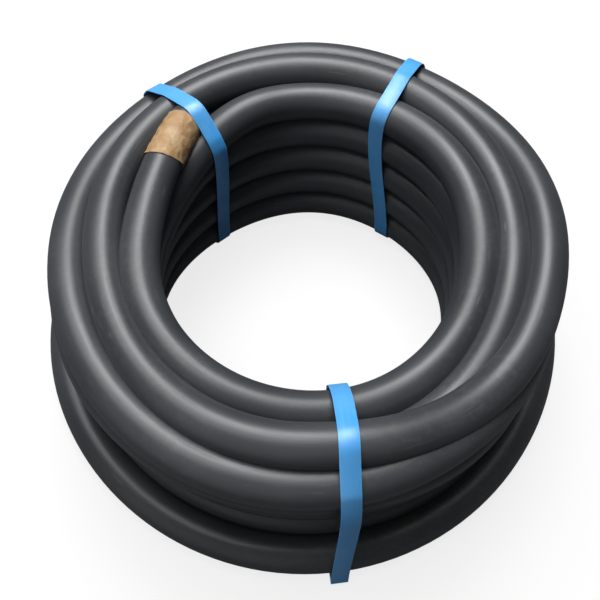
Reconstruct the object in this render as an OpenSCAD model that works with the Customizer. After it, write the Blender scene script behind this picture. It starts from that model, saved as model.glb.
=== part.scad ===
// Coil of flexible conduit, held by three flat straps.
// Origin: centre of the coil, on the floor it lies on. +Z is the coil's axis.

/* [Conduit] */
// Outside diameter of the conduit
conduit_d = 25; // [16:1:40]

/* [Coil] */
// Clear diameter of the bore, between the innermost turns
bore_d = 190; // [120:5:400]
// Turns side by side on the top of the coil
top_columns = 3; // [2:1:5]
// Turns side by side under the coil
base_columns = 4; // [3:1:6]
// Turns on top of one another
rows = 5; // [4:1:8]
// How far turns on top of one another press into each other
row_press = 0.7; // [0.3:0.1:1.5]
// How far turns side by side press into each other
column_press = 2.5; // [0.5:0.1:4]
// How far the outer top turn has slipped below its neighbours
shoulder_drop = 7; // [0:0.5:12]

/* [Straps] */
// Width of a strap
strap_w = 11; // [6:0.5:19]
// Thickness of a strap
strap_t = 0.8; // [0.5:0.1:1.5]
// Clearance between a strap and the turns under it
strap_fit = 0.3; // [0.2:0.05:0.5]
// Direction of the front strap, counter-clockwise from +X
front_strap_angle = 278; // [240:1:300]
// Direction of the back right strap
back_right_strap_angle = 60; // [20:1:85]
// Direction of the back left strap
back_left_strap_angle = 131; // [100:1:135]

/* [End tape] */
// Length of conduit that the tape covers
tape_l = 30; // [15:1:60]
// Thickness of the wound tape
tape_t = 0.5; // [0.3:0.1:1]
// Gap between the tape and the strap that holds the taped end
tape_gap = 0.5; // [0.3:0.1:2]

/* [Hidden] */

$fn = 64;
conduit_r = conduit_d / 2;
row_pitch = conduit_d - row_press;
column_pitch = conduit_d - column_press;

// Centres of the turns in a section through the coil, as radius and height
first_r = bore_d / 2 + conduit_r;
first_z = strap_t + strap_fit + conduit_r;
function column_r(column) = first_r + column * column_pitch;
function row_z(row) = first_z + row * row_pitch;

last_row = rows - 1;
bore_turns = [for (row = [0:last_row]) [column_r(0), row_z(row)]];
base_turns = [for (column = [0:base_columns - 1]) [column_r(column), row_z(0)]];
crown_turns = [for (column = [0:top_columns - 2]) [column_r(column), row_z(last_row)]];

// The outer turns lean inwards, from the foot of the coil up to its shoulder
foot_turn = [column_r(base_columns - 1), row_z(0)];
shoulder_turn = [column_r(top_columns - 1), row_z(last_row) - shoulder_drop];
outer_turns = [
    for (row = [0:last_row]) foot_turn + (shoulder_turn - foot_turn) * row / last_row
];

// Corners of the bundle, counter-clockwise: the turns that a taut strap bears on.
// With two turns across the top, the inner one is both the crown's edge and the bore's top turn.
crown_edge = top_columns > 2 ? [crown_turns[top_columns - 2]] : [];
strap_corners = concat([bore_turns[0], foot_turn, shoulder_turn], crown_edge, [bore_turns[last_row]]);

// Direction that the side from point a to point b faces
function facing(a, b) = atan2(b.y - a.y, b.x - a.x) - 90;
function upwards(from, to) = to < from ? to + 360 : to;

// Outline of a taut band at the distance r round the points in corners
arc_steps = 8;
function taut_outline(corners, r) = [
    for (i = [0:len(corners) - 1])
        let (
            here = corners[i],
            before = corners[(i + len(corners) - 1) % len(corners)],
            after = corners[(i + 1) % len(corners)],
            start = facing(before, here),
            end = upwards(start, facing(here, after))
        )
        if (end > start)
            for (step = [0:arc_steps])
                let (a = start + (end - start) * step / arc_steps)
                here + r * [cos(a), sin(a)]
];

module turn_sections(centres) {
    for (centre = centres)
        translate(centre) circle(r = conduit_r);
}

// All turns as one turned solid, with their round sides showing all over it
module conduit_coil() {
    color("#2b2c2e")
    rotate_extrude() {
        polygon(strap_corners);
        turn_sections(bore_turns);
        turn_sections(base_turns);
        turn_sections(outer_turns);
        turn_sections(crown_turns);
    }
}

// One flat strap, pulled tight round the bundle of turns
module strap(angle) {
    color("#4c9fd8")
    rotate([0, 0, angle]) rotate([90, 0, 0])
    linear_extrude(strap_w, center = true)
    difference() {
        polygon(taut_outline(strap_corners, conduit_r + strap_fit + strap_t));
        polygon(taut_outline(strap_corners, conduit_r + strap_fit));
    }
}

module front_strap() { strap(front_strap_angle); }
module back_right_strap() { strap(back_right_strap_angle); }
module back_left_strap() { strap(back_left_strap_angle); }

// Tape wound over the inner end of the conduit, beside the back left strap.
// It covers the open side of the top inner turn, from the turn beside it to the turn below.
tape_edge_beside = 35;
tape_edge_below = 235;
tape_edge_steps = 8;
tape_reach = 2 * conduit_d;
module end_tape() {
    strap_half_angle = asin((strap_w / 2 + tape_gap) / (bore_d / 2));
    open_side = [
        for (step = [0:tape_edge_steps])
            let (a = tape_edge_beside + (tape_edge_below - tape_edge_beside) * step / tape_edge_steps)
            tape_reach * [cos(a), sin(a)]
    ];
    color("#d9b57a")
    rotate([0, 0, back_left_strap_angle + strap_half_angle])
    rotate_extrude(angle = tape_l / first_r * 180 / PI)
    translate(bore_turns[last_row])
    intersection() {
        difference() {
            circle(r = conduit_r + tape_t);
            circle(r = conduit_r);
        }
        polygon(concat([[0, 0]], open_side));
    }
}

conduit_coil();
front_strap();
back_right_strap();
back_left_strap();
end_tape();
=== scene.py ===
import math

import bpy
from bpy.props import FloatProperty, FloatVectorProperty, IntProperty, PointerProperty
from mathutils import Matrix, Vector, geometry, kdtree, noise


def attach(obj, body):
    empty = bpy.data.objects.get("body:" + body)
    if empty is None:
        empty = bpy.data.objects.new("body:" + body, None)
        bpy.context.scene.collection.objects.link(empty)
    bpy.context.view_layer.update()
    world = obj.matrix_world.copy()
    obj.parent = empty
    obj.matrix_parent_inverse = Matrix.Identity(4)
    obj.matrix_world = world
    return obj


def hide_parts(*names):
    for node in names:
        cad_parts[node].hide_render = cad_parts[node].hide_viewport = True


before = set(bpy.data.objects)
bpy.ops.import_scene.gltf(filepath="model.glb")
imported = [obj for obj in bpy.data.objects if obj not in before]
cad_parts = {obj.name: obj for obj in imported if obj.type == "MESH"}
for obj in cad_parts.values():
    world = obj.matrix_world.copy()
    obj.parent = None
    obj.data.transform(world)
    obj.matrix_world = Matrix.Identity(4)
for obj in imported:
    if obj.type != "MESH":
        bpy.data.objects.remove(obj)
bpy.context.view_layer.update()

bl_info = {
    "name": "Coil of flexible conduit",
    "version": (1, 0, 0),
    "blender": (4, 5, 0),
    "location": "3D View > Sidebar > Conduit coil",
    "description": "Winds, straps and tapes a coil of flexible conduit",
    "category": "Object",
}

MM = 0.001
FULL_TURN = 360.0

# ---------------------------------------------------------------------------
# How the conduit lies in the coil.
# Each turn follows a ring once round, and crosses from there onto the next.
# A ring gives the middle of the conduit as (radius, height), both in conduit
# diameters, at four or eight evenly spaced places, counter-clockwise from the
# right.
# ---------------------------------------------------------------------------

INNER_TOP = (
    (4.27, 4.50), (4.40, 4.52), (4.58, 4.30), (4.15, 4.55),
    (4.07, 4.60), (4.47, 4.36), (4.58, 3.98), (4.48, 3.95),
)
INNER_FOOT = (
    (4.55, 0.50), (4.22, 0.50), (4.08, 0.50), (4.18, 0.50),
    (4.78, 0.50), (4.75, 0.50), (4.45, 0.50), (4.40, 0.50),
)
MIDDLE_TOP = (
    (5.10, 4.40), (5.40, 4.45), (5.45, 4.60), (5.45, 4.50),
    (5.08, 4.50), (5.25, 4.50), (5.55, 4.70), (5.30, 4.55),
)
MIDDLE_FOOT = ((5.35, 0.95), (5.20, 0.95), (5.50, 0.95), (5.20, 0.95))
OUTER_TOP = (
    (5.90, 4.55), (6.25, 4.15), (6.30, 4.25), (6.30, 3.95),
    (5.98, 4.20), (6.05, 4.32), (6.25, 4.22), (5.95, 4.18),
)
OUTER_WALL = (
    (
        (5.95, 3.35), (6.05, 3.30), (6.20, 3.35), (6.25, 3.30),
        (6.20, 3.30), (6.20, 3.15), (6.15, 3.20), (6.17, 3.25),
    ),
    ((6.00, 2.40), (6.10, 2.40), (6.00, 2.40), (6.05, 2.15)),
    ((6.10, 1.45), (6.10, 1.45), (6.10, 1.45), (6.16, 0.85)),
)
OUTER_FOOT = ((6.10, 0.50), (6.15, 0.50), (6.15, 0.50), (6.15, 0.50))
FOOT = (
    (6.90, 0.50), (7.05, 0.50), (7.05, 0.50), (7.05, 0.50),
    (7.10, 0.50), (7.05, 0.50), (7.05, 0.50), (6.90, 0.50),
)

# Where the conduit starts, crosses from ring to ring and ends. Directions are
# in degrees, counter-clockwise from +X, and keep counting up from turn to turn.
INNER_END = 133.0
INNER_CROSSING = 137.0
MIDDLE_EMERGES = 324.0
OUTER_CROSSING = 303.0
WALL_CROSSING = 320.0
FOOT_CROSSING = 130.0
OUTER_END = 95.0

# How much later each crossing down the bore comes, and how much sooner each
# one down the outer wall
INNER_DRIFT = 30.0
CROSSING_DRIFT = 4.0

# A crossing starts and ends this far from its middle
CROSSING_HALF = 32.0

# Steps between the top ring and the foot ring, on the bore's wall and inside
# the bundle, and the whole turns that the conduit makes inside
INNER_ROWS = 4
MIDDLE_ROWS = 4
MIDDLE_TURNS = 3

# The taped end stands this far up and outwards from its ring, in conduit
# diameters, and is back on it after this many degrees
END_LIFT = 0.10
END_LIFT_OUTWARDS = 0.62
END_LIFT_ANGLE = 55.0

# Crossings this far behind have no more say in where the conduit lies
LONG_PAST = 3 * FULL_TURN

# Each strap: its direction, and how far its band lies counter-clockwise of
# that, in conduit diameters, at the bore's foot, at the crown's inner and outer
# edge and at the outer foot
STRAPS = {
    "front_strap": (278.0, (0.25, 0.18, 0.05, -0.12)),
    "back_right_strap": (58.0, (-0.55, 0.30, 0.50, 0.10)),
    "back_left_strap": (131.0, (0.38, 0.05, 0.25, 0.05)),
}
# Where a band stands off the turns in a wide bend, as (distance from the axis,
# height, radius of the bend) in conduit diameters
STANDS_OFF = {
    "front_strap": ((5.45, 3.45, 1.60), (7.64, 0.18, 0.10)),
    "back_right_strap": ((5.90, 4.00, 0.98), (5.00, 4.15, 0.92)),
    "back_left_strap": ((5.90, 3.95, 0.89), (4.85, 4.05, 1.00)),
}


def blend(a, b, share):
    """The ring that lies the share of the way from ring a to ring b."""
    return lambda direction: [x + (y - x) * share for x, y in zip(a(direction), b(direction))]


def ring(places):
    """A ring as a function of the direction: one smooth wave through its evenly spaced places."""
    count = len(places)

    def place(direction):
        radius = height = 0.0
        for i, (r, z) in enumerate(places):
            angle = math.radians(direction - FULL_TURN * i / count)
            weight = 1 + 2 * sum(math.cos(k * angle) for k in range(1, count // 2))
            weight = (weight + math.cos(count / 2 * angle)) / count
            radius += weight * r
            height += weight * z
        return radius, height

    return place


def smooth_step(t):
    """A smooth rise from 0 to 1 as t goes from 0 to 1, and level on either side."""
    t = min(max(t, 0.0), 1.0)
    return t * t * (3 - 2 * t)


def lay_of_turns():
    """Every (direction of the crossing onto a ring, the ring), from the taped inner end outwards,
    and the direction in which the conduit ends."""
    inner_top, inner_foot = ring(INNER_TOP), ring(INNER_FOOT)
    middle_top, middle_foot = ring(MIDDLE_TOP), ring(MIDDLE_FOOT)
    turns = [(INNER_END - FULL_TURN, inner_top)]
    crossing = INNER_CROSSING + FULL_TURN
    for row in range(1, INNER_ROWS + 1):
        turns.append((crossing, blend(inner_top, inner_foot, row / INNER_ROWS)))
        crossing += FULL_TURN + INNER_DRIFT
    emerges = crossing + (MIDDLE_EMERGES - crossing) % FULL_TURN + MIDDLE_TURNS * FULL_TURN
    for row in range(MIDDLE_ROWS + 1):
        share = row / MIDDLE_ROWS
        turns.append((crossing + (emerges - crossing) * share, blend(middle_foot, middle_top, share)))
    base = emerges - MIDDLE_EMERGES + FULL_TURN
    turns.append((base + OUTER_CROSSING, ring(OUTER_TOP)))
    crossing = base + WALL_CROSSING + FULL_TURN
    for places in (*OUTER_WALL, OUTER_FOOT):
        turns.append((crossing, ring(places)))
        crossing += FULL_TURN - CROSSING_DRIFT
    crossing += CROSSING_DRIFT
    foot_crossing = crossing - crossing % FULL_TURN + FOOT_CROSSING
    turns.append((foot_crossing, ring(FOOT)))
    return turns, foot_crossing - FOOT_CROSSING + FULL_TURN + OUTER_END


def winding(diameter, floor, step):
    """The points down the middle of the conduit, a step in degrees apart, from its taped inner end."""
    turns, end = lay_of_turns()
    points = []
    for i in range(int((end - INNER_END) / step) + 1):
        direction = INNER_END + i * step
        radius = height = 0.0
        for crossing, place in turns:
            if direction - crossing > LONG_PAST:
                continue
            share = smooth_step((direction - crossing) / (2 * CROSSING_HALF) + 0.5)
            if share <= 0:
                break
            r, z = place(direction)
            radius += (r - radius) * share
            height += (z - height) * share
        lift = max(0.0, 1 - (direction - INNER_END) / END_LIFT_ANGLE) ** 2
        radius += END_LIFT_OUTWARDS * lift
        height += END_LIFT * lift
        angle = math.radians(direction)
        across = Vector((math.cos(angle), math.sin(angle), 0.0))
        points.append(across * radius * diameter + Vector((0, 0, height * diameter + floor)))
    return points


def lengths_along(points):
    """The length of a path up to each of its points."""
    lengths = [0.0]
    for a, b in zip(points, points[1:]):
        lengths.append(lengths[-1] + (b - a).length)
    return lengths


# ---------------------------------------------------------------------------
# Modelling helpers
# ---------------------------------------------------------------------------


def deselect():
    """Leaves edit mode, with nothing selected."""
    if bpy.context.object and bpy.context.object.mode != "OBJECT":
        bpy.ops.object.mode_set(mode="OBJECT")
    bpy.ops.object.select_all(action="DESELECT")


def make_active(piece):
    """Selects one piece and nothing else."""
    deselect()
    piece.select_set(True)
    bpy.context.view_layer.objects.active = piece


def apply_modifier(piece, kind, **settings):
    """Gives a piece a modifier with the given settings and applies it."""
    make_active(piece)
    modifier = piece.modifiers.new(kind.title(), kind)
    for name, value in settings.items():
        setattr(modifier, name, value)
    bpy.ops.object.modifier_apply(modifier=modifier.name)


def finish_piece(piece, node, material, smooth_angle=40.0):
    """Puts a piece's place into its mesh, shades it, and lets it stand for its CAD node."""
    make_active(piece)
    bpy.ops.object.transform_apply(location=True, rotation=True, scale=True)
    bpy.ops.object.mode_set(mode="EDIT")
    bpy.ops.mesh.select_all(action="SELECT")
    bpy.ops.mesh.normals_make_consistent(inside=False)
    bpy.ops.object.mode_set(mode="OBJECT")
    bpy.ops.object.shade_smooth_by_angle(angle=math.radians(smooth_angle))
    piece.data.materials.clear()
    piece.data.materials.append(material)
    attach(piece, "root")
    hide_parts(node)


def path_axes(path, i):
    """Two directions across a path at one of its points: outwards, and up."""
    before, after = path[max(i - 1, 0)], path[min(i + 1, len(path) - 1)]
    along = (after - before).normalized()
    out = along.cross(Vector((0, 0, 1))).normalized()
    return out, out.cross(along).normalized()


def place_new_mesh(name, vertices, faces, corners):
    """A new object from mesh data, with a UV corner for each corner of its faces."""
    mesh = bpy.data.meshes.new(name)
    mesh.from_pydata(vertices, [], faces)
    layer = mesh.uv_layers.new(name="UVMap")
    for loop, corner in zip(layer.data, corners):
        loop.uv = corner
    mesh.update()
    piece = bpy.data.objects.new(name, mesh)
    bpy.context.collection.objects.link(piece)
    return piece


# ---------------------------------------------------------------------------
# Materials
# ---------------------------------------------------------------------------

WHITE = (1, 1, 1, 1)
SCUFFED_CONDUIT = (0.14, 0.14, 0.145, 1)
CONDUIT_DUST = (0.30, 0.28, 0.25, 1)
TAPE_DUST = (0.75, 0.68, 0.55, 1)
WAFFLE_PITCH = 1.3 * MM


def add_node(tree, kind, **inputs):
    """Adds a shader node and sets its named inputs: a socket is linked, a value is set."""
    node = tree.nodes.new(kind)
    node.location = (220 * (len(tree.nodes) % 7), -260 * (len(tree.nodes) // 7))
    for name, value in inputs.items():
        connect(tree, node.inputs[name.replace("_", " ")], value)
    return node


def connect(tree, socket, value):
    """Links another socket to a socket, or sets the socket to a plain value."""
    if isinstance(value, bpy.types.NodeSocket):
        tree.links.new(value, socket)
    else:
        socket.default_value = value


def math_node(tree, operation, *values):
    """The result of a Math node on one to three sockets or numbers."""
    node = add_node(tree, "ShaderNodeMath")
    node.operation = operation
    for socket, value in zip(node.inputs, values):
        connect(tree, socket, value)
    return node.outputs[0]


def mix_colours(tree, mask, a, b):
    """Colour a where the mask is 0 and colour b where it is 1."""
    node = add_node(tree, "ShaderNodeMix")
    node.data_type = "RGBA"
    connect(tree, node.inputs["Factor"], mask)
    for name, value in (("A", a), ("B", b)):
        socket = next(s for s in node.inputs if s.name == name and s.type == "RGBA")
        connect(tree, socket, value)
    return next(s for s in node.outputs if s.type == "RGBA")


def spread(tree, value, low, high):
    """A value's stretch from low to high, spread smoothly over 0 to 1."""
    node = add_node(tree, "ShaderNodeMapRange", Value=value, From_Min=low, From_Max=high)
    node.interpolation_type = "SMOOTHSTEP"
    return node.outputs["Result"]


def new_effect(name, inputs, outputs):
    """A new node group with number sockets: (its tree, its inputs, its output node)."""
    tree = bpy.data.node_groups.new(name, "ShaderNodeTree")
    for socket, default in inputs.items():
        added = tree.interface.new_socket(socket, in_out="INPUT", socket_type="NodeSocketFloat")
        added.default_value = default
    for socket in outputs:
        tree.interface.new_socket(socket, in_out="OUTPUT", socket_type="NodeSocketFloat")
    return tree, tree.nodes.new("NodeGroupInput").outputs, tree.nodes.new("NodeGroupOutput")


def use_effect(tree, effect, **inputs):
    """Places an effect in a material and gives its outputs."""
    node = tree.nodes.new("ShaderNodeGroup")
    node.node_tree = effect
    for name, value in inputs.items():
        connect(tree, node.inputs[name.replace("_", " ")], value)
    return node.outputs


def wrapped_place(tree, girth):
    """The UV map's place on a round piece: its length along, and its two coordinates across."""
    uv = add_node(tree, "ShaderNodeTexCoord").outputs["UV"]
    parts = add_node(tree, "ShaderNodeSeparateXYZ", Vector=uv).outputs
    turn = math_node(tree, "MULTIPLY", parts["Y"], 2 * math.pi)
    radius = math_node(tree, "MULTIPLY", girth, 1 / (2 * math.pi))
    across = math_node(tree, "MULTIPLY", math_node(tree, "COSINE", turn), radius)
    up = math_node(tree, "MULTIPLY", math_node(tree, "SINE", turn), radius)
    return parts["X"], across, up


def drawn_lines_effect():
    """Faint lines that run along an extruded piece, as its die leaves them."""
    inputs = {"Girth": 0.08, "Lines": 900.0, "Stretch": 25.0}
    tree, given, out = new_effect("Drawn lines", inputs, ("Height", "Mask"))
    along, across, up = wrapped_place(tree, given["Girth"])
    drawn = math_node(tree, "DIVIDE", along, given["Stretch"])
    place = add_node(tree, "ShaderNodeCombineXYZ", X=drawn, Y=across, Z=up).outputs[0]
    lines = add_node(tree, "ShaderNodeTexNoise", Vector=place, Scale=given["Lines"], Detail=2.0)
    tree.links.new(lines.outputs[0], out.inputs["Height"])
    tree.links.new(spread(tree, lines.outputs[0], 0.45, 0.75), out.inputs["Mask"])
    return tree


def mottle_effect():
    """Broad, soft clouds of lighter and darker surface."""
    tree, given, out = new_effect("Mottle", {"Scale": 14.0}, ("Mask",))
    place = add_node(tree, "ShaderNodeTexCoord").outputs["Object"]
    clouds = add_node(tree, "ShaderNodeTexNoise", Vector=place, Scale=given["Scale"], Detail=3.0)
    tree.links.new(spread(tree, clouds.outputs[0], 0.3, 0.7), out.inputs["Mask"])
    return tree


def dust_effect():
    """Dust that has settled in patches on faces that look up."""
    tree, given, out = new_effect("Dust", {"Scale": 120.0, "Cover": 0.4}, ("Mask",))
    place = add_node(tree, "ShaderNodeTexCoord").outputs["Object"]
    normal = add_node(tree, "ShaderNodeNewGeometry").outputs["Normal"]
    up = add_node(tree, "ShaderNodeSeparateXYZ", Vector=normal).outputs["Z"]
    grains = add_node(
        tree, "ShaderNodeTexNoise", Vector=place, Scale=given["Scale"], Detail=5.0, Roughness=0.7
    )
    patches = add_node(tree, "ShaderNodeTexNoise", Vector=place, Scale=18.0, Detail=2.0)
    facing_up = spread(tree, up, 0.1, 1.0)
    lying = math_node(tree, "MULTIPLY", facing_up, spread(tree, grains.outputs[0], 0.4, 0.8))
    lying = math_node(tree, "MULTIPLY", lying, spread(tree, patches.outputs[0], 0.35, 0.65))
    tree.links.new(math_node(tree, "MULTIPLY", lying, given["Cover"]), out.inputs["Mask"])
    return tree


def scuffs_effect():
    """Short scratches and rubbed spots from handling."""
    tree, given, out = new_effect("Scuffs", {"Girth": 0.08, "Amount": 0.5}, ("Mask", "Height"))
    along, across, up = wrapped_place(tree, given["Girth"])
    place = add_node(tree, "ShaderNodeCombineXYZ", X=along, Y=across, Z=up).outputs[0]
    bent = add_node(tree, "ShaderNodeTexNoise", Vector=place, Scale=40.0, Detail=1.0)
    slanted = add_node(
        tree, "ShaderNodeMapping", Vector=place, Rotation=(0.4, 0.2, 0.9), Scale=(60.0, 900.0, 900.0)
    )
    moved = add_node(tree, "ShaderNodeVectorMath")
    moved.operation = "ADD"
    tree.links.new(slanted.outputs[0], moved.inputs[0])
    tree.links.new(bent.outputs[0], moved.inputs[1])
    scratches = add_node(tree, "ShaderNodeTexNoise", Vector=moved.outputs[0], Scale=1.0, Detail=1.0)
    spots = add_node(tree, "ShaderNodeTexNoise", Vector=place, Scale=22.0, Detail=2.0)
    thin = spread(tree, scratches.outputs[0], 0.66, 0.74)
    mask = math_node(tree, "MULTIPLY", thin, spread(tree, spots.outputs[0], 0.5, 0.7))
    mask = math_node(tree, "MULTIPLY", mask, given["Amount"])
    tree.links.new(mask, out.inputs["Mask"])
    tree.links.new(math_node(tree, "MULTIPLY", mask, -1.0), out.inputs["Height"])
    return tree


def effects():
    """The effects that the materials share, built once."""
    makers = {
        "Drawn lines": drawn_lines_effect,
        "Mottle": mottle_effect,
        "Dust": dust_effect,
        "Scuffs": scuffs_effect,
    }
    return {name: bpy.data.node_groups.get(name) or make() for name, make in makers.items()}


def new_material(name):
    """A new material: (the material, its node tree, its Principled BSDF)."""
    material = bpy.data.materials.new(name)
    material.use_nodes = True
    tree = material.node_tree
    return material, tree, tree.nodes["Principled BSDF"]


def bump(tree, height, distance, strength, normal=None):
    """The normal that a height gives, over any normal given."""
    node = add_node(tree, "ShaderNodeBump", Height=height, Distance=distance, Strength=strength)
    if normal:
        tree.links.new(normal, node.inputs["Normal"])
    return node.outputs["Normal"]


def conduit_plastic(colour, faded, diameter):
    """Satin dark plastic sheath with faint lengthwise lines, handling scuffs and a little dust."""
    material, tree, shader = new_material("Conduit plastic")
    made = effects()
    girth = math.pi * diameter
    lines = use_effect(tree, made["Drawn lines"], Girth=girth, Lines=1100.0, Stretch=30.0)
    scuffs = use_effect(tree, made["Scuffs"], Girth=girth, Amount=0.5)
    mottle = use_effect(tree, made["Mottle"], Scale=11.0)["Mask"]
    dust = use_effect(tree, made["Dust"], Scale=260.0, Cover=0.10)["Mask"]
    base = mix_colours(tree, mottle, colour, faded)
    base = mix_colours(tree, scuffs["Mask"], base, SCUFFED_CONDUIT)
    base = mix_colours(tree, dust, base, CONDUIT_DUST)
    connect(tree, shader.inputs["Base Color"], base)
    rough = math_node(tree, "MULTIPLY_ADD", lines["Mask"], 0.05, 0.37)
    rough = math_node(tree, "MULTIPLY_ADD", mottle, 0.05, rough)
    rough = math_node(tree, "MULTIPLY_ADD", scuffs["Mask"], 0.25, rough)
    connect(tree, shader.inputs["Roughness"], rough)
    normal = bump(tree, lines["Height"], 0.03 * MM, 0.6)
    normal = bump(tree, scuffs["Height"], 0.05 * MM, 0.6, normal)
    connect(tree, shader.inputs["Normal"], normal)
    return material


def strap_plastic(colour, pale, width):
    """Bright plastic strapping with a pressed waffle face, paler rubbed edges and lengthwise streaks."""
    material, tree, shader = new_material("Strap plastic")
    shader.inputs["Specular IOR Level"].default_value = 0.9
    made = effects()
    uv = add_node(tree, "ShaderNodeTexCoord").outputs["UV"]
    parts = add_node(tree, "ShaderNodeSeparateXYZ", Vector=uv).outputs
    across = math_node(tree, "MULTIPLY", parts["Y"], width)
    pitch = 2 * math.pi / WAFFLE_PITCH
    rising = math_node(tree, "MULTIPLY", math_node(tree, "ADD", parts["X"], across), pitch)
    falling = math_node(tree, "MULTIPLY", math_node(tree, "SUBTRACT", parts["X"], across), pitch)
    ribs = [math_node(tree, "SINE", slope) for slope in (rising, falling)]
    waffle = math_node(tree, "MAXIMUM", *ribs)
    from_middle = math_node(tree, "ABSOLUTE", math_node(tree, "SUBTRACT", parts["Y"], 0.5))
    pressed = math_node(tree, "MULTIPLY", waffle, spread(tree, from_middle, 0.45, 0.38))
    lines = use_effect(tree, made["Drawn lines"], Girth=2 * width, Lines=1500.0, Stretch=60.0)
    scuffs = use_effect(tree, made["Scuffs"], Girth=2 * width, Amount=0.8)
    mottle = use_effect(tree, made["Mottle"], Scale=30.0)["Mask"]
    rubbed = math_node(tree, "MULTIPLY", spread(tree, from_middle, 0.43, 0.5), 0.3)
    base = mix_colours(tree, math_node(tree, "MULTIPLY", mottle, 0.25), colour, pale)
    base = mix_colours(tree, math_node(tree, "MULTIPLY", lines["Mask"], 0.2), base, pale)
    base = mix_colours(tree, math_node(tree, "ADD", rubbed, scuffs["Mask"]), base, pale)
    connect(tree, shader.inputs["Base Color"], base)
    rough = math_node(tree, "MULTIPLY_ADD", lines["Mask"], 0.08, 0.40)
    rough = math_node(tree, "MULTIPLY_ADD", scuffs["Mask"], 0.2, rough)
    connect(tree, shader.inputs["Roughness"], rough)
    normal = bump(tree, pressed, 0.04 * MM, 0.5)
    normal = bump(tree, lines["Height"], 0.05 * MM, 0.5, normal)
    connect(tree, shader.inputs["Normal"], normal)
    return material


def crepe_tape(colour, shade, diameter):
    """Tan crepe paper tape: blotched, with fine lines, creases and a little dust. The darker crease
    colour on its blotches and fine lines is painted shade for its crinkles.
    """
    material, tree, shader = new_material("Crepe tape")
    made = effects()
    girth = math.pi * diameter
    lines = use_effect(tree, made["Drawn lines"], Girth=girth, Lines=2200.0, Stretch=7.0)
    scuffs = use_effect(tree, made["Scuffs"], Girth=girth, Amount=0.5)
    mottle = use_effect(tree, made["Mottle"], Scale=150.0)["Mask"]
    dust = use_effect(tree, made["Dust"], Scale=300.0, Cover=0.15)["Mask"]
    # Painted shade: the darker crease colour goes on the blotches and fine lines, in place of the shade
    # in the tape's crinkles
    base = mix_colours(tree, math_node(tree, "MULTIPLY", mottle, 0.8), colour, shade)
    base = mix_colours(tree, math_node(tree, "MULTIPLY", lines["Mask"], 0.35), base, shade)
    base = mix_colours(tree, dust, base, TAPE_DUST)
    connect(tree, shader.inputs["Base Color"], base)
    rough = math_node(tree, "MULTIPLY_ADD", mottle, 0.12, 0.50)
    connect(tree, shader.inputs["Roughness"], rough)
    normal = bump(tree, lines["Height"], 0.12 * MM, 0.8)
    normal = bump(tree, mottle, 0.8 * MM, 0.6, normal)
    normal = bump(tree, scuffs["Height"], 0.1 * MM, 0.5, normal)
    connect(tree, shader.inputs["Normal"], normal)
    return material


# ---------------------------------------------------------------------------
# Settings
# ---------------------------------------------------------------------------


class ConduitSettings(bpy.types.PropertyGroup):
    diameter: FloatProperty(
        name="Diameter", description="Outside diameter of the conduit",
        default=25 * MM, min=10 * MM, max=50 * MM, subtype="DISTANCE", unit="LENGTH",
    )
    wall: FloatProperty(
        name="Wall", description="Thickness of the conduit's wall at its open ends",
        default=2.2 * MM, min=1 * MM, max=5 * MM, subtype="DISTANCE", unit="LENGTH",
    )
    clear_of_floor: FloatProperty(
        name="Clear of floor", description="Gap under the lowest turns, which lie on the straps",
        default=1.1 * MM, min=0, max=5 * MM, subtype="DISTANCE", unit="LENGTH",
    )
    step: FloatProperty(
        name="Step", description="Degrees round the coil from one ring of the mesh to the next",
        default=2.5, min=1, max=10,
    )
    sides: IntProperty(name="Sides", description="Faces round the conduit", default=28, min=12, max=48)
    colour: FloatVectorProperty(
        name="Colour", description="Colour of the plastic",
        default=(0.036, 0.040, 0.045, 1), size=4, min=0, max=1, subtype="COLOR",
    )
    faded: FloatVectorProperty(
        name="Faded colour", description="Colour where the plastic has faded",
        default=(0.053, 0.057, 0.063, 1), size=4, min=0, max=1, subtype="COLOR",
    )


class StrapSettings(bpy.types.PropertyGroup):
    width: FloatProperty(
        name="Width", description="Width of a strap",
        default=11 * MM, min=5 * MM, max=20 * MM, subtype="DISTANCE", unit="LENGTH",
    )
    thickness: FloatProperty(
        name="Thickness", description="Thickness of a strap",
        default=0.8 * MM, min=0.4 * MM, max=2 * MM, subtype="DISTANCE", unit="LENGTH",
    )
    clearance: FloatProperty(
        name="Clearance", description="Gap between a strap and the turns it bears on",
        default=0.3 * MM, min=0, max=2 * MM, subtype="DISTANCE", unit="LENGTH",
    )
    lap: FloatProperty(
        name="Lap", description="Length over which a strap's ends lie welded on each other",
        default=32 * MM, min=10 * MM, max=80 * MM, subtype="DISTANCE", unit="LENGTH",
    )
    colour: FloatVectorProperty(
        name="Colour", description="Colour of the strapping",
        default=(0.045, 0.340, 0.800, 1), size=4, min=0, max=1, subtype="COLOR",
    )
    pale: FloatVectorProperty(
        name="Rubbed colour", description="Colour of its rubbed edges and streaks",
        default=(0.220, 0.540, 0.880, 1), size=4, min=0, max=1, subtype="COLOR",
    )


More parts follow.
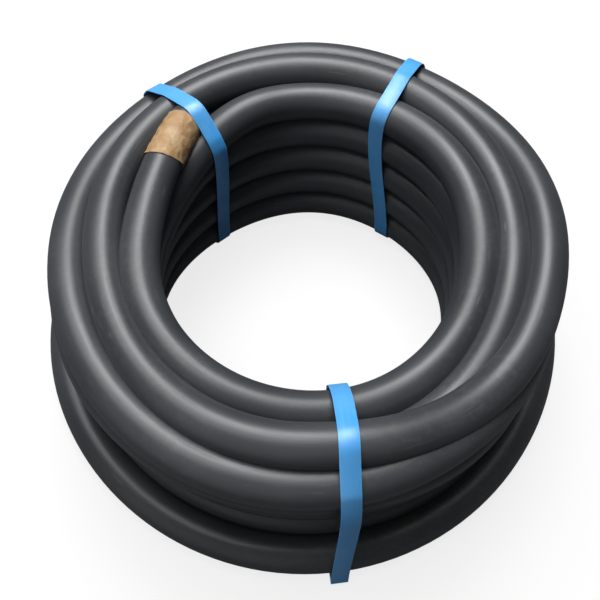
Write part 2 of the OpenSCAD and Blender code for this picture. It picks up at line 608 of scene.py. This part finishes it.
class TapeSettings(bpy.types.PropertyGroup):
    length: FloatProperty(
        name="Length", description="Length of conduit that the tape covers",
        default=34 * MM, min=10 * MM, max=80 * MM, subtype="DISTANCE", unit="LENGTH",
    )
    slant: FloatProperty(
        name="Slant", description="How much further the tape reaches on top than at the sides",
        default=4 * MM, min=0, max=15 * MM, subtype="DISTANCE", unit="LENGTH",
    )
    thickness: FloatProperty(
        name="Thickness", description="Thickness of one layer of tape",
        default=0.25 * MM, min=0.1 * MM, max=1 * MM, subtype="DISTANCE", unit="LENGTH",
    )
    turns: FloatProperty(
        name="Turns", description="How many times the tape goes round the conduit",
        default=1.3, min=1, max=3,
    )
    colour: FloatVectorProperty(
        name="Colour", description="Colour of the tape",
        default=(0.460, 0.310, 0.170, 1), size=4, min=0, max=1, subtype="COLOR",
    )
    # Painted shade: a darker tan that stands in for the shade in the tape's crinkles
    shade: FloatVectorProperty(
        name="Painted crease shade", description="Colour of the tape's creases",
        default=(0.330, 0.180, 0.060, 1), size=4, min=0, max=1, subtype="COLOR",
    )


# ---------------------------------------------------------------------------
# Conduit
# ---------------------------------------------------------------------------

# Rings of the mesh that the conduit's hole goes in from each end
BORE_RINGS = 4


def conduit_path(context):
    """The points down the middle of the conduit, for the settings that the scene has."""
    s = context.scene.conduit
    return winding(s.diameter, s.clear_of_floor, s.step)


def tube(name, path, radius, wall, bore_rings, sides):
    """A tube round a path, hollow for bore_rings rings from each end. On its UV map, U is the
    length in metres and V goes once round."""
    last = len(path) - 1
    bore = [(i, radius - wall) for i in range(bore_rings, -1, -1)]
    skin = [(i, radius) for i in range(len(path))]
    far_bore = [(last - i, radius - wall) for i in range(bore_rings + 1)]
    rings = bore + skin + far_bore
    lengths = lengths_along(path)
    vertices, faces, corners = [], [], []
    for i, r in rings:
        out, up = path_axes(path, i)
        for side in range(sides):
            angle = 2 * math.pi * side / sides
            vertices.append(path[i] + r * (math.cos(angle) * out + math.sin(angle) * up))
    for row in range(len(rings) - 1):
        u0, u1 = lengths[rings[row][0]], lengths[rings[row + 1][0]]
        for side in range(sides):
            following = (side + 1) % sides
            a, b = row * sides, (row + 1) * sides
            faces.append((a + side, a + following, b + following, b + side))
            v0, v1 = side / sides, (side + 1) / sides
            corners += [(u0, v0), (u0, v1), (u1, v1), (u1, v0)]
    start = len(vertices) - sides
    faces += [tuple(range(sides))[::-1], tuple(range(start, start + sides))]
    corners += [(0.0, side / sides) for side in range(sides)][::-1]
    corners += [(lengths[-1], side / sides) for side in range(sides)]
    return place_new_mesh(name, vertices, faces, corners)


class COIL_OT_wind_conduit(bpy.types.Operator):
    """Winds the conduit, turn by turn, from its taped inner end to its outer end"""

    bl_idname = "coil.wind_conduit"
    bl_label = "Wind conduit"
    bl_options = {"REGISTER", "UNDO"}

    def execute(self, context):
        s = context.scene.conduit
        path = conduit_path(context)
        conduit = tube("conduit", path, s.diameter / 2, s.wall, BORE_RINGS, s.sides)
        material = conduit_plastic(s.colour, s.faded, s.diameter)
        finish_piece(conduit, "conduit_coil", material)
        return {"FINISHED"}


# ---------------------------------------------------------------------------
# Straps
# ---------------------------------------------------------------------------

# Corners of each circle that a strap is pulled round
CIRCLE_SIDES = 48
# The longest stretch of a band from one of its points to the next
LONGEST_STRETCH = 4 * MM
# Length over which a band climbs onto its own other end
CLIMB = 6 * MM
# Height of the lap's upper layer over the lower one, in strap thicknesses
LAP_LAYER = 1.05


def point_at(path, step, turn, direction):
    """Where the conduit's middle is on one of its turns, in a direction: (distance from the axis,
    height), or None where the conduit has ended."""
    at = ((direction - INNER_END) % FULL_TURN + turn * FULL_TURN) / step
    if at > len(path) - 2:
        return None
    point = path[int(at)].lerp(path[int(at) + 1], at - int(at))
    return Vector((math.hypot(point.x, point.y), point.z))


def turns_under_band(path, step, direction, side_at, width):
    """(distance along the direction, height) of every turn's middle under a band's middle and its
    two edges. side_at gives how far to one side the band lies."""
    middles = []
    for turn in range(math.ceil(len(path) * step / FULL_TURN)):
        place = point_at(path, step, turn, direction)
        if not place:
            continue
        for share in (-0.5, 0, 0.5):
            side = side_at(place) + share * width
            angle = math.asin(side / place.x)
            edge = point_at(path, step, turn, direction + math.degrees(angle))
            if edge:
                middles.append(Vector((edge.x * math.cos(angle), edge.y)))
    return middles


def taut_outline(circles):
    """The corners, counter-clockwise, of a band pulled tight round circles. Each circle is its
    (middle, radius) in metres."""
    points = []
    for middle, radius in circles:
        for i in range(CIRCLE_SIDES):
            angle = 2 * math.pi * i / CIRCLE_SIDES
            points.append(middle + radius * Vector((math.cos(angle), math.sin(angle))))
    outline = [points[i] for i in geometry.convex_hull_2d(points)]
    area = sum(a.x * b.y - b.x * a.y for a, b in zip(outline, outline[1:] + outline[:1]))
    return outline if area > 0 else outline[::-1]


def stations_along(outline, start, lap, layer):
    """Points along a closed outline, from the corner nearest to start, once round and over the lap,
    where the band lies one layer further out, on its own other end."""
    first = min(range(len(outline)), key=lambda i: (outline[i] - start).length)
    loop = outline[first:] + outline[:first]
    loop += loop[:1]
    stations, gone = [], 0.0
    total = sum((b - a).length for a, b in zip(loop, loop[1:]))
    for a, b in zip(loop + loop[1:], loop[1:] + loop[1:]):
        side = (b - a).length
        out = Vector(((b - a).y, -(b - a).x)).normalized()
        stretches = max(1, math.ceil(side / LONGEST_STRETCH))
        for i in range(stretches):
            at = gone + side * i / stretches
            if at > total + lap:
                return stations
            climb = smooth_step((at - total + CLIMB) / CLIMB)
            stations.append(a.lerp(b, i / stretches) + out * layer * climb)
        gone += side
    return stations


def band_side(along, height, inner, outer, top, sides):
    """How far a band lies to one side at a place along and up, between its sides at the bore's foot,
    the crown's inner and outer edge and the outer foot."""
    bore_foot, inner_crown, outer_crown, outer_foot = sides
    outwards = smooth_step((along - inner) / (outer - inner))
    upwards = smooth_step(height / top)
    foot = bore_foot + (outer_foot - bore_foot) * outwards
    crown = inner_crown + (outer_crown - inner_crown) * outwards
    return foot + (crown - foot) * upwards


def sweep_band(name, points, width, thickness):
    """A band made by extruding its end face through the points. It runs in the XZ plane, with its
    width along Y."""
    deselect()
    bpy.ops.mesh.primitive_plane_add(size=1, location=(0, 0, 0))
    band = bpy.context.object
    band.name = name
    bpy.ops.object.mode_set(mode="EDIT")
    bpy.ops.mesh.select_all(action="SELECT")
    bpy.ops.transform.resize(value=(thickness, width, 1))
    bpy.ops.mesh.bevel(offset=0.3 * thickness, segments=2, affect="VERTICES")
    facing = 0.0
    at = Vector((0, 0, 0))

    def turn_end(angle):
        # Without a window the operator turns the other way round
        bpy.ops.transform.rotate(
            value=-angle, orient_axis="Y", orient_type="GLOBAL", center_override=tuple(at)
        )

    for i, point in enumerate(points):
        before, after = points[max(i - 1, 0)], points[min(i + 1, len(points) - 1)]
        along = after - before
        wanted = math.atan2(along.x, along.z)
        if i == 0:
            bpy.ops.transform.translate(value=tuple(point))
        else:
            bpy.ops.mesh.extrude_region_move(TRANSFORM_OT_translate={"value": tuple(point - at)})
        at = point
        bend = (wanted - facing + math.pi) % (2 * math.pi) - math.pi
        turn_end(bend)
        facing = wanted
    bpy.ops.object.mode_set(mode="OBJECT")
    return band


def map_band(band, points, width):
    """Lays a band's UV map: U is the metres along it, and V the share across its width."""
    tree = kdtree.KDTree(len(points))
    for i, point in enumerate(points):
        tree.insert(point, i)
    tree.balance()
    lengths = lengths_along(points)
    mesh = band.data
    layer = mesh.uv_layers.active or mesh.uv_layers.new(name="UVMap")
    for loop in mesh.loops:
        place = mesh.vertices[loop.vertex_index].co
        i = tree.find(place)[1]
        layer.data[loop.index].uv = (lengths[i], (place.y - points[i].y) / width + 0.5)


def strap_points(name, path, conduit, s):
    """The points that a strap's band runs through, round the bundle and over its lap, with the
    strap's direction laid along X."""
    direction, sides = STRAPS[name]
    d = conduit.diameter
    turns = range(math.ceil(len(path) * conduit.step / FULL_TURN))
    middles = [point_at(path, conduit.step, turn, direction) for turn in turns]
    middles = [middle for middle in middles if middle]
    inner, outer = (pick(middle.x for middle in middles) for pick in (min, max))
    top = max(middle.y for middle in middles)

    def side_at(place):
        return d * band_side(place.x, place.y, inner, outer, top, sides)

    under = turns_under_band(path, conduit.step, direction, side_at, s.width)
    reach = d / 2 + s.clearance + s.thickness / 2
    circles = [(middle, reach) for middle in under]
    circles += [(Vector(bend[:2]) * d, bend[2] * d) for bend in STANDS_OFF[name]]
    # The front strap laps on the bore's wall, and the others on the outer wall
    in_bore = name == "front_strap"
    lap_place = Vector((inner - d, top * 0.8) if in_bore else (outer + d / 2, top * 0.35))
    flat = stations_along(taut_outline(circles), lap_place, s.lap, s.thickness * LAP_LAYER)
    return [Vector((place.x, side_at(place), place.y)) for place in flat]


class COIL_OT_fit_straps(bpy.types.Operator):
    """Pulls the three straps tight round the bundle of turns and laps their ends"""

    bl_idname = "coil.fit_straps"
    bl_label = "Fit straps"
    bl_options = {"REGISTER", "UNDO"}

    def execute(self, context):
        conduit, s = context.scene.conduit, context.scene.strap
        path = conduit_path(context)
        material = strap_plastic(s.colour, s.pale, s.width)
        for name, (direction, _) in STRAPS.items():
            points = strap_points(name, path, conduit, s)
            band = sweep_band(name, points, s.width, s.thickness)
            map_band(band, points, s.width)
            band.rotation_euler.z = math.radians(direction)
            finish_piece(band, name, material, smooth_angle=30.0)
        return {"FINISHED"}


# ---------------------------------------------------------------------------
# Tape
# ---------------------------------------------------------------------------

TAPE_ROWS = 18
TAPE_COLUMNS = 84
# Gap between the tape and the back left strap
BESIDE_STRAP = 0.6 * MM
# Direction round the conduit in which the tape starts, in degrees, and how far
# that turns from one edge of the tape to the other
TAPE_START = -70
TAPE_TWIST = 22
# How far the puckers reach in from the tape's free edge
PUCKER_REACH = 2.5 * MM
# Height of the creases
CREASE = 1.0 * MM
# Gap between the tape and the conduit
UNDER_TAPE = 0.08 * MM
# Share of a turn over which the tape climbs onto its own start, and the height
# of its second layer over the first, in its own thicknesses
TAPE_CLIMB = 0.03
TAPE_LAYER = 1.2


def wrap_round(tape, path, conduit, strap, s):
    """Bends a flat grid of tape round the conduit's inner end. The grid's X goes round and its Y
    goes along."""
    lengths = lengths_along(path)
    start = strap.width / 2 + BESIDE_STRAP
    for vertex in tape.data.vertices:
        round_share, along_share = vertex.co.x + 0.5, vertex.co.y + 0.5
        angle = math.radians(TAPE_START + TAPE_TWIST * along_share) + 2 * math.pi * s.turns * round_share
        length = start + along_share * (s.length + s.slant * math.sin(angle))
        i = next(k for k in range(len(path) - 1) if lengths[k + 1] > length)
        share = (length - lengths[i]) / (lengths[i + 1] - lengths[i])
        middle = path[i].lerp(path[i + 1], share)
        out, up = path_axes(path, i + 1)
        free_edge = math.exp(-(1 - along_share) * s.length / PUCKER_REACH)
        waves = 0.25 + 0.25 * math.sin(5 * angle) + 0.15 * math.sin(11 * angle + 1)
        place = Vector((2.5 * math.cos(angle), 2.5 * math.sin(angle), 130 * length))
        crease = abs(CREASE * noise.noise(place))
        layers = max(0.0, s.turns * round_share - 1)
        climb = smooth_step(layers / TAPE_CLIMB) * s.thickness * TAPE_LAYER
        r = conduit.diameter / 2 + UNDER_TAPE + climb + free_edge * waves * MM + crease
        vertex.co = middle + r * (math.cos(angle) * out + math.sin(angle) * up)


class COIL_OT_wrap_tape(bpy.types.Operator):
    """Wraps crepe tape round the inner end of the conduit, beside its strap"""

    bl_idname = "coil.wrap_tape"
    bl_label = "Wrap tape"
    bl_options = {"REGISTER", "UNDO"}

    def execute(self, context):
        conduit, s = context.scene.conduit, context.scene.tape
        deselect()
        bpy.ops.mesh.primitive_grid_add(
            x_subdivisions=TAPE_COLUMNS, y_subdivisions=TAPE_ROWS, size=1
        )
        tape = context.object
        tape.name = "tape"
        layer = tape.data.uv_layers.active
        for loop in tape.data.loops:
            flat = tape.data.vertices[loop.vertex_index].co
            layer.data[loop.index].uv = ((flat.y + 0.5) * s.length, (flat.x + 0.5) * s.turns)
        wrap_round(tape, conduit_path(context), conduit, context.scene.strap, s)
        apply_modifier(tape, "SOLIDIFY", thickness=s.thickness, offset=1.0)
        material = crepe_tape(s.colour, s.shade, conduit.diameter)
        finish_piece(tape, "end_tape", material, smooth_angle=50.0)
        return {"FINISHED"}


# ---------------------------------------------------------------------------
# Stage
# ---------------------------------------------------------------------------

# Each lamp: its place, the place that it points at, its width and height, all
# in metres, and its power in watts
LAMPS = {
    "Overhead": ((-0.30, 0.45, 1.6), (-0.02, 0, 0.05), (1.5, 1.3), 25),
    "Key": ((-0.05, 0.80, 1.45), (0, 0, 0.05), (0.7, 0.7), 17),
    "Fill": ((-1.0, -1.5, 0.95), (0, 0, 0.05), (2.4, 2.4), 8),
}
# Strength of the even light from all round
WORLD_FILL = 0.03

# The camera's place in conduit diameters, its angle below level in degrees, its
# turn to the left as a slope, and its lens and sensor in millimetres
EYE = (0, -9.42, 18.09)
DOWNWARDS = 61.3
TO_THE_LEFT = 0.0096
LENS = 39.5
SENSOR = 36

# The floor's width in metres, its colour to the camera and in the light that it
# throws back, and how much of the white background shows through it
FLOOR_SIZE = 14
FLOOR_SEEN = (0.90, 0.90, 0.90, 1)
FLOOR_LIGHTING = (0.09, 0.09, 0.10, 1)
FLOOR_GLOW = 0.8
# Share of the white background that reflections see in the floor and beyond it
FLOOR_REFLECTED = 0.05
WORLD_REFLECTED = 0.03


def background_share(tree, reflections):
    """How much of the white background a ray sees: all of it from the camera, and the share given
    in reflections and through glass."""
    rays = add_node(tree, "ShaderNodeLightPath").outputs
    reflected = math_node(tree, "MAXIMUM", rays["Is Glossy Ray"], rays["Is Transmission Ray"])
    return math_node(tree, "MULTIPLY_ADD", reflected, reflections, rays["Is Camera Ray"])


def pale_floor():
    """A floor that shows nearly white to the camera, keeps the coil's shadow and throws little light
    back up at it."""
    material, tree, shader = new_material("Pale floor")
    camera = add_node(tree, "ShaderNodeLightPath").outputs["Is Camera Ray"]
    base = mix_colours(tree, camera, FLOOR_LIGHTING, FLOOR_SEEN)
    connect(tree, shader.inputs["Base Color"], base)
    shader.inputs["Roughness"].default_value = 0.8
    white = add_node(tree, "ShaderNodeEmission")
    share = math_node(tree, "MULTIPLY", background_share(tree, FLOOR_REFLECTED), FLOOR_GLOW)
    mixed = add_node(tree, "ShaderNodeMixShader")
    connect(tree, mixed.inputs[0], share)
    connect(tree, mixed.inputs[1], shader.outputs[0])
    connect(tree, mixed.inputs[2], white.outputs[0])
    connect(tree, tree.nodes["Material Output"].inputs["Surface"], mixed.outputs[0])
    return material


def add_lamp(scene, name, location, target, size, power):
    """A rectangular lamp that points at a target."""
    light = bpy.data.lights.new(name, "AREA")
    light.shape = "RECTANGLE"
    light.size, light.size_y = size
    light.energy = power
    lamp = bpy.data.objects.new(name, light)
    lamp.location = location
    lamp.rotation_euler = (Vector(target) - Vector(location)).to_track_quat("-Z", "Y").to_euler()
    scene.collection.objects.link(lamp)


def add_world(scene, fill):
    """Faint even light from all round, in front of a white background."""
    world = bpy.data.worlds.new("Studio")
    world.use_nodes = True
    tree = world.node_tree
    share = background_share(tree, WORLD_REFLECTED)
    strength = math_node(tree, "MULTIPLY_ADD", share, 1 - fill, fill)
    background = tree.nodes["Background"]
    background.inputs["Color"].default_value = WHITE
    connect(tree, background.inputs["Strength"], strength)
    scene.world = world


def add_camera(scene, diameter):
    """A camera that looks down on the coil from in front."""
    angle = math.radians(DOWNWARDS)
    forward = Vector((-TO_THE_LEFT, math.cos(angle), -math.sin(angle)))
    data = bpy.data.cameras.new("Camera")
    data.lens = LENS
    data.sensor_width = SENSOR
    camera = bpy.data.objects.new("Camera", data)
    camera.location = Vector(EYE) * diameter
    camera.rotation_euler = forward.to_track_quat("-Z", "Y").to_euler()
    scene.collection.objects.link(camera)
    scene.camera = camera


class COIL_OT_set_stage(bpy.types.Operator):
    """Sets up the floor, the lamps, the background and the camera"""

    bl_idname = "coil.set_stage"
    bl_label = "Set stage"
    bl_options = {"REGISTER", "UNDO"}

    def execute(self, context):
        scene = context.scene
        scene.view_settings.view_transform = "Standard"
        deselect()
        bpy.ops.mesh.primitive_plane_add(size=FLOOR_SIZE, location=(0, 0, 0))
        floor = context.object
        floor.name = "floor"
        floor.data.materials.append(pale_floor())
        add_camera(scene, scene.conduit.diameter)
        for name, lamp in LAMPS.items():
            add_lamp(scene, name, *lamp)
        add_world(scene, WORLD_FILL)
        return {"FINISHED"}


class COIL_PT_panel(bpy.types.Panel):
    """Sizes and finishes of the coil"""

    bl_idname = "COIL_PT_panel"
    bl_label = "Conduit coil"
    bl_space_type = "VIEW_3D"
    bl_region_type = "UI"
    bl_category = "Conduit coil"

    def draw(self, context):
        scene = context.scene
        for settings in (scene.conduit, scene.strap, scene.tape):
            column = self.layout.column(align=True)
            for name in settings.__annotations__:
                column.prop(settings, name)
        for operator in OPERATORS:
            self.layout.operator(operator.bl_idname)


SETTINGS = {"conduit": ConduitSettings, "strap": StrapSettings, "tape": TapeSettings}
OPERATORS = (COIL_OT_set_stage, COIL_OT_wind_conduit, COIL_OT_fit_straps, COIL_OT_wrap_tape)
CLASSES = (*SETTINGS.values(), *OPERATORS, COIL_PT_panel)


def register():
    for cls in CLASSES:
        bpy.utils.register_class(cls)
    for name, cls in SETTINGS.items():
        setattr(bpy.types.Scene, name, PointerProperty(type=cls))


def unregister():
    for name in SETTINGS:
        delattr(bpy.types.Scene, name)
    for cls in reversed(CLASSES):
        bpy.utils.unregister_class(cls)


def main():
    register()
    bpy.ops.coil.set_stage()
    bpy.ops.coil.wind_conduit()
    bpy.ops.coil.fit_straps()
    bpy.ops.coil.wrap_tape()


if __name__ == "__main__":
    main()
